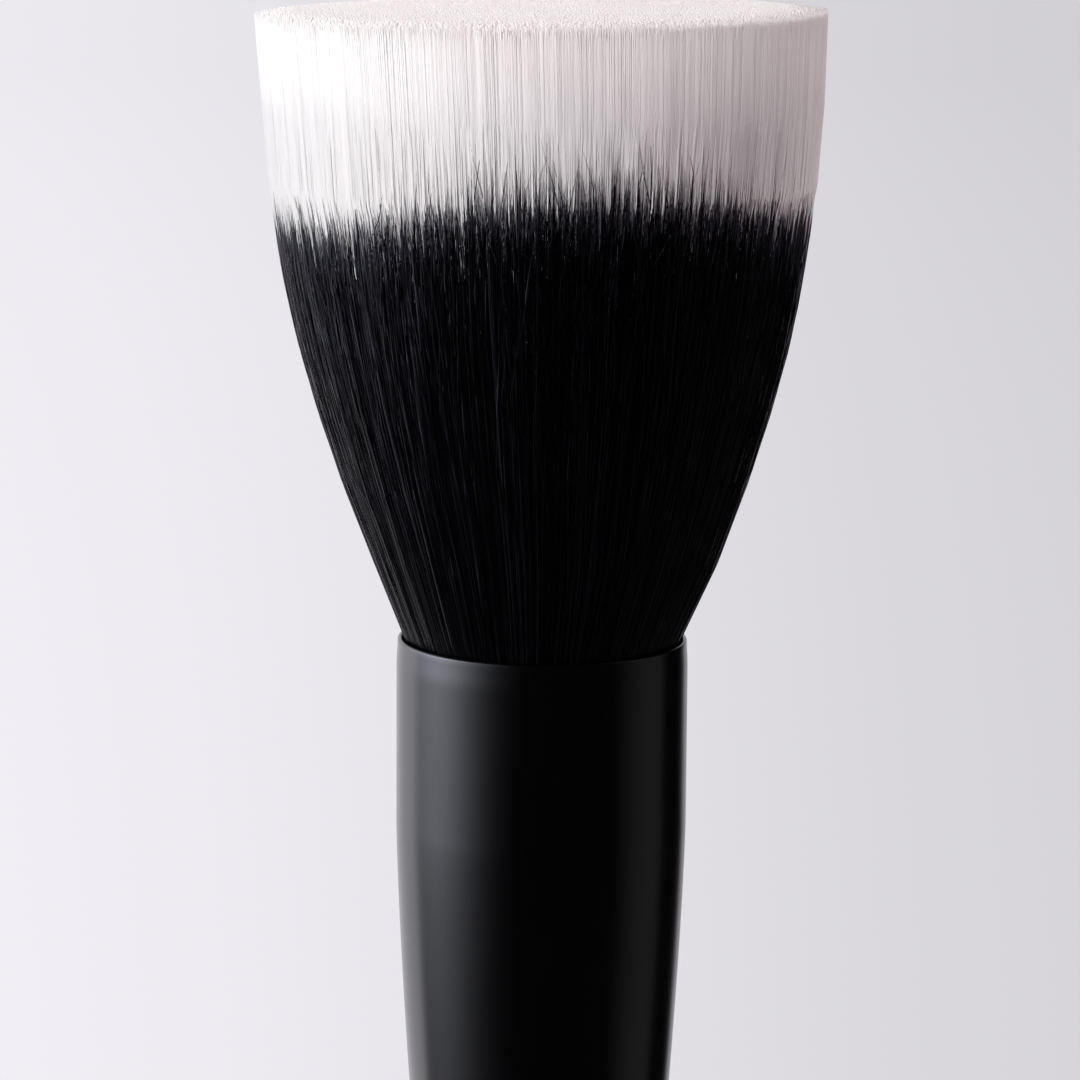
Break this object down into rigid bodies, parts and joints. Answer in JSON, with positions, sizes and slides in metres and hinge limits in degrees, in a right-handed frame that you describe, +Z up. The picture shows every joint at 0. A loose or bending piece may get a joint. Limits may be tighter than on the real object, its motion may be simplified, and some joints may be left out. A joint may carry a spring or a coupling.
{
  "type": "foundation brush",
  "caption": "Full-size round foundation brush: flared duo-fibre tuft, flat cut on top, in a tapered satin black ferrule on a slim lacquered handle.",
  "frame": {"origin": "centre of the handle's flat butt, on the surface that the brush stands on", "axes": "+Z up along the brush's axis from the butt to the cut top of the tuft; the picture looks along +Y, with +X to its right"},
  "size_m": [0.0378, 0.0378, 0.1848],
  "materials": {
    "lacquered_wood": "gloss black lacquer over turned hardwood",
    "satin_black_metal": "satin black anodised metal",
    "cured_adhesive": "cured clear adhesive",
    "root_resin": "cured resin with set hair roots",
    "black_hair": "soft black hair with tapered tips",
    "white_fibre": "white translucent synthetic fibre"
  },
  "bodies": {
    "root": {"handle": "lacquered_wood", "ferrule": "satin_black_metal", "handle_adhesive": "cured_adhesive", "root_resin": "root_resin", "black_hair_outer": "black_hair", "white_fibre_outer": "white_fibre", "black_hair_inner": "black_hair", "white_fibre_core": "white_fibre"}
  },
  "joints": []
}
